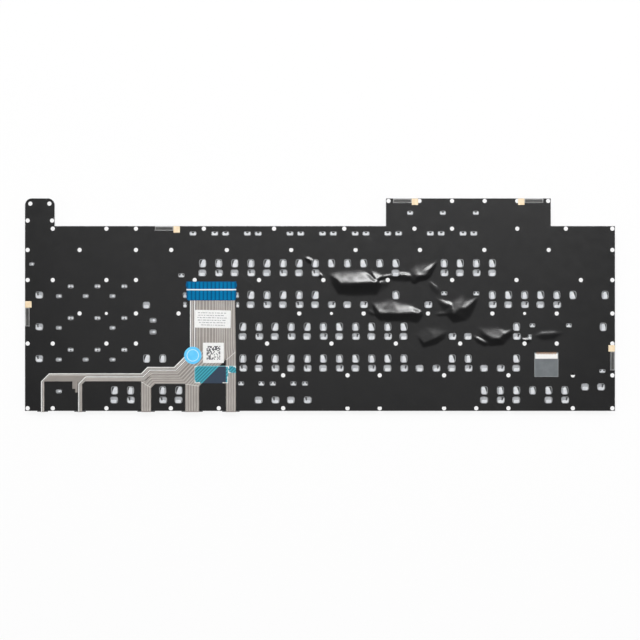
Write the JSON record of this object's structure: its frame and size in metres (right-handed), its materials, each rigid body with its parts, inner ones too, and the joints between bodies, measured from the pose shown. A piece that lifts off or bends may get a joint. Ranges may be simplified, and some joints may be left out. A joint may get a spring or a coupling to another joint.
{
  "type": "laptop keyboard",
  "caption": "Laptop replacement keyboard lying face down: black back film with rows of small windows, folded ribbon with a blue connector end, and keys that press on rubber domes.",
  "frame": {"origin": "middle of the bounding box on the ground, under the keycaps' touch faces", "axes": "+X to the right and +Y up as seen from the back, +Z out of the back"},
  "size_m": [0.3494, 0.1266, 0.0067],
  "materials": {
    "keycap": "fine matt moulded plastic, black",
    "dome_rubber": "milky silicone rubber",
    "membrane": "clear polyester with printed silver tracks",
    "plate_metal": "stamped sheet, satin",
    "light_guide": "white acrylic sheet",
    "back_film": "thin black polyester, satin and creased",
    "edge_guard": "dark grey foam tape",
    "stiffener_blue": "blue polyester, ribbed by the tracks under it",
    "cover_teal": "clear teal insulating film",
    "label_paper": "white printed paper",
    "sticker_blue": "light blue printed paper",
    "cable_grey": "grey flexible circuit",
    "light_strip": "cream moulded plastic",
    "tape_tan": "tan adhesive tape"
  },
  "bodies": {
    "board": {"back_film": "back_film", "backlight_cable": "cable_grey", "connector_stiffener": "stiffener_blue", "edge_guards": "edge_guard", "function_keys": "keycap", "hot_keys": "keycap", "light_guide": "light_guide", "light_strips": "light_strip", "modifier_keys": "keycap", "number_pad_keys": "keycap", "number_row_keys": "keycap", "paper_labels": "label_paper", "punctuation_keys": "keycap", "ribbon_cover": "cover_teal", "round_sticker": "sticker_blue", "rubber_domes": "dome_rubber", "support_plate": "plate_metal", "switch_membrane": "membrane", "tape_tabs": "tape_tan"},
    "key_a": {"key_a": "keycap"},
    "key_b": {"key_b": "keycap"},
    "key_backspace": {"key_backspace": "keycap"},
    "key_c": {"key_c": "keycap"},
    "key_caps_lock": {"key_caps_lock": "keycap"},
    "key_d": {"key_d": "keycap"},
    "key_down": {"key_down": "keycap"},
    "key_e": {"key_e": "keycap"},
    "key_enter": {"key_enter": "keycap"},
    "key_escape": {"key_escape": "keycap"},
    "key_f": {"key_f": "keycap"},
    "key_g": {"key_g": "keycap"},
    "key_h": {"key_h": "keycap"},
    "key_i": {"key_i": "keycap"},
    "key_j": {"key_j": "keycap"},
    "key_k": {"key_k": "keycap"},
    "key_l": {"key_l": "keycap"},
    "key_left": {"key_left": "keycap"},
    "key_left_ctrl": {"key_left_ctrl": "keycap"},
    "key_left_shift": {"key_left_shift": "keycap"},
    "key_m": {"key_m": "keycap"},
    "key_n": {"key_n": "keycap"},
    "key_o": {"key_o": "keycap"},
    "key_p": {"key_p": "keycap"},
    "key_power": {"key_power": "keycap"},
    "key_q": {"key_q": "keycap"},
    "key_r": {"key_r": "keycap"},
    "key_right": {"key_right": "keycap"},
    "key_right_shift": {"key_right_shift": "keycap"},
    "key_s": {"key_s": "keycap"},
    "key_space": {"key_space": "keycap"},
    "key_t": {"key_t": "keycap"},
    "key_tab": {"key_tab": "keycap"},
    "key_u": {"key_u": "keycap"},
    "key_up": {"key_up": "keycap"},
    "key_v": {"key_v": "keycap"},
    "key_w": {"key_w": "keycap"},
    "key_x": {"key_x": "keycap"},
    "key_y": {"key_y": "keycap"},
    "key_z": {"key_z": "keycap"}
  },
  "joints": [
    {"name": "press_a", "type": "slide", "parent": "board", "child": "key_a", "axis": [0, 0, 1], "range_m": [0, 0.0018], "stiffness_N_per_m": 300, "deforming": ["rubber_domes"]},
    {"name": "press_b", "type": "slide", "parent": "board", "child": "key_b", "axis": [0, 0, 1], "range_m": [0, 0.0018], "stiffness_N_per_m": 300, "deforming": ["rubber_domes"]},
    {"name": "press_backspace", "type": "slide", "parent": "board", "child": "key_backspace", "axis": [0, 0, 1], "range_m": [0, 0.0018], "stiffness_N_per_m": 300, "deforming": ["rubber_domes"]},
    {"name": "press_c", "type": "slide", "parent": "board", "child": "key_c", "axis": [0, 0, 1], "range_m": [0, 0.0018], "stiffness_N_per_m": 300, "deforming": ["rubber_domes"]},
    {"name": "press_caps_lock", "type": "slide", "parent": "board", "child": "key_caps_lock", "axis": [0, 0, 1], "range_m": [0, 0.0018], "stiffness_N_per_m": 300, "deforming": ["rubber_domes"]},
    {"name": "press_d", "type": "slide", "parent": "board", "child": "key_d", "axis": [0, 0, 1], "range_m": [0, 0.0018], "stiffness_N_per_m": 300, "deforming": ["rubber_domes"]},
    {"name": "press_down", "type": "slide", "parent": "board", "child": "key_down", "axis": [0, 0, 1], "range_m": [0, 0.0018], "stiffness_N_per_m": 300, "deforming": ["rubber_domes"]},
    {"name": "press_e", "type": "slide", "parent": "board", "child": "key_e", "axis": [0, 0, 1], "range_m": [0, 0.0018], "stiffness_N_per_m": 300, "deforming": ["rubber_domes"]},
    {"name": "press_enter", "type": "slide", "parent": "board", "child": "key_enter", "axis": [0, 0, 1], "range_m": [0, 0.0018], "stiffness_N_per_m": 300, "deforming": ["rubber_domes"]},
    {"name": "press_escape", "type": "slide", "parent": "board", "child": "key_escape", "axis": [0, 0, 1], "range_m": [0, 0.0018], "stiffness_N_per_m": 300, "deforming": ["rubber_domes"]},
    {"name": "press_f", "type": "slide", "parent": "board", "child": "key_f", "axis": [0, 0, 1], "range_m": [0, 0.0018], "stiffness_N_per_m": 300, "deforming": ["rubber_domes"]},
    {"name": "press_g", "type": "slide", "parent": "board", "child": "key_g", "axis": [0, 0, 1], "range_m": [0, 0.0018], "stiffness_N_per_m": 300, "deforming": ["rubber_domes"]},
    {"name": "press_h", "type": "slide", "parent": "board", "child": "key_h", "axis": [0, 0, 1], "range_m": [0, 0.0018], "stiffness_N_per_m": 300, "deforming": ["rubber_domes"]},
    {"name": "press_i", "type": "slide", "parent": "board", "child": "key_i", "axis": [0, 0, 1], "range_m": [0, 0.0018], "stiffness_N_per_m": 300, "deforming": ["rubber_domes"]},
    {"name": "press_j", "type": "slide", "parent": "board", "child": "key_j", "axis": [0, 0, 1], "range_m": [0, 0.0018], "stiffness_N_per_m": 300, "deforming": ["rubber_domes"]},
    {"name": "press_k", "type": "slide", "parent": "board", "child": "key_k", "axis": [0, 0, 1], "range_m": [0, 0.0018], "stiffness_N_per_m": 300, "deforming": ["rubber_domes"]},
    {"name": "press_l", "type": "slide", "parent": "board", "child": "key_l", "axis": [0, 0, 1], "range_m": [0, 0.0018], "stiffness_N_per_m": 300, "deforming": ["rubber_domes"]},
    {"name": "press_left", "type": "slide", "parent": "board", "child": "key_left", "axis": [0, 0, 1], "range_m": [0, 0.0018], "stiffness_N_per_m": 300, "deforming": ["rubber_domes"]},
    {"name": "press_left_ctrl", "type": "slide", "parent": "board", "child": "key_left_ctrl", "axis": [0, 0, 1], "range_m": [0, 0.0018], "stiffness_N_per_m": 300, "deforming": ["rubber_domes"]},
    {"name": "press_left_shift", "type": "slide", "parent": "board", "child": "key_left_shift", "axis": [0, 0, 1], "range_m": [0, 0.0018], "stiffness_N_per_m": 300, "deforming": ["rubber_domes"]},
    {"name": "press_m", "type": "slide", "parent": "board", "child": "key_m", "axis": [0, 0, 1], "range_m": [0, 0.0018], "stiffness_N_per_m": 300, "deforming": ["rubber_domes"]},
    {"name": "press_n", "type": "slide", "parent": "board", "child": "key_n", "axis": [0, 0, 1], "range_m": [0, 0.0018], "stiffness_N_per_m": 300, "deforming": ["rubber_domes"]},
    {"name": "press_o", "type": "slide", "parent": "board", "child": "key_o", "axis": [0, 0, 1], "range_m": [0, 0.0018], "stiffness_N_per_m": 300, "deforming": ["rubber_domes"]},
    {"name": "press_p", "type": "slide", "parent": "board", "child": "key_p", "axis": [0, 0, 1], "range_m": [0, 0.0018], "stiffness_N_per_m": 300, "deforming": ["rubber_domes"]},
    {"name": "press_power", "type": "slide", "parent": "board", "child": "key_power", "axis": [0, 0, 1], "range_m": [0, 0.0018], "stiffness_N_per_m": 300, "deforming": ["rubber_domes"]},
    {"name": "press_q", "type": "slide", "parent": "board", "child": "key_q", "axis": [0, 0, 1], "range_m": [0, 0.0018], "stiffness_N_per_m": 300, "deforming": ["rubber_domes"]},
    {"name": "press_r", "type": "slide", "parent": "board", "child": "key_r", "axis": [0, 0, 1], "range_m": [0, 0.0018], "stiffness_N_per_m": 300, "deforming": ["rubber_domes"]},
    {"name": "press_right", "type": "slide", "parent": "board", "child": "key_right", "axis": [0, 0, 1], "range_m": [0, 0.0018], "stiffness_N_per_m": 300, "deforming": ["rubber_domes"]},
    {"name": "press_right_shift", "type": "slide", "parent": "board", "child": "key_right_shift", "axis": [0, 0, 1], "range_m": [0, 0.0018], "stiffness_N_per_m": 300, "deforming": ["rubber_domes"]},
    {"name": "press_s", "type": "slide", "parent": "board", "child": "key_s", "axis": [0, 0, 1], "range_m": [0, 0.0018], "stiffness_N_per_m": 300, "deforming": ["rubber_domes"]},
    {"name": "press_space", "type": "slide", "parent": "board", "child": "key_space", "axis": [0, 0, 1], "range_m": [0, 0.0018], "stiffness_N_per_m": 300, "deforming": ["rubber_domes"]},
    {"name": "press_t", "type": "slide", "parent": "board", "child": "key_t", "axis": [0, 0, 1], "range_m": [0, 0.0018], "stiffness_N_per_m": 300, "deforming": ["rubber_domes"]},
    {"name": "press_tab", "type": "slide", "parent": "board", "child": "key_tab", "axis": [0, 0, 1], "range_m": [0, 0.0018], "stiffness_N_per_m": 300, "deforming": ["rubber_domes"]},
    {"name": "press_u", "type": "slide", "parent": "board", "child": "key_u", "axis": [0, 0, 1], "range_m": [0, 0.0018], "stiffness_N_per_m": 300, "deforming": ["rubber_domes"]},
    {"name": "press_up", "type": "slide", "parent": "board", "child": "key_up", "axis": [0, 0, 1], "range_m": [0, 0.0018], "stiffness_N_per_m": 300, "deforming": ["rubber_domes"]},
    {"name": "press_v", "type": "slide", "parent": "board", "child": "key_v", "axis": [0, 0, 1], "range_m": [0, 0.0018], "stiffness_N_per_m": 300, "deforming": ["rubber_domes"]},
    {"name": "press_w", "type": "slide", "parent": "board", "child": "key_w", "axis": [0, 0, 1], "range_m": [0, 0.0018], "stiffness_N_per_m": 300, "deforming": ["rubber_domes"]},
    {"name": "press_x", "type": "slide", "parent": "board", "child": "key_x", "axis": [0, 0, 1], "range_m": [0, 0.0018], "stiffness_N_per_m": 300, "deforming": ["rubber_domes"]},
    {"name": "press_y", "type": "slide", "parent": "board", "child": "key_y", "axis": [0, 0, 1], "range_m": [0, 0.0018], "stiffness_N_per_m": 300, "deforming": ["rubber_domes"]},
    {"name": "press_z", "type": "slide", "parent": "board", "child": "key_z", "axis": [0, 0, 1], "range_m": [0, 0.0018], "stiffness_N_per_m": 300, "deforming": ["rubber_domes"]}
  ]
}
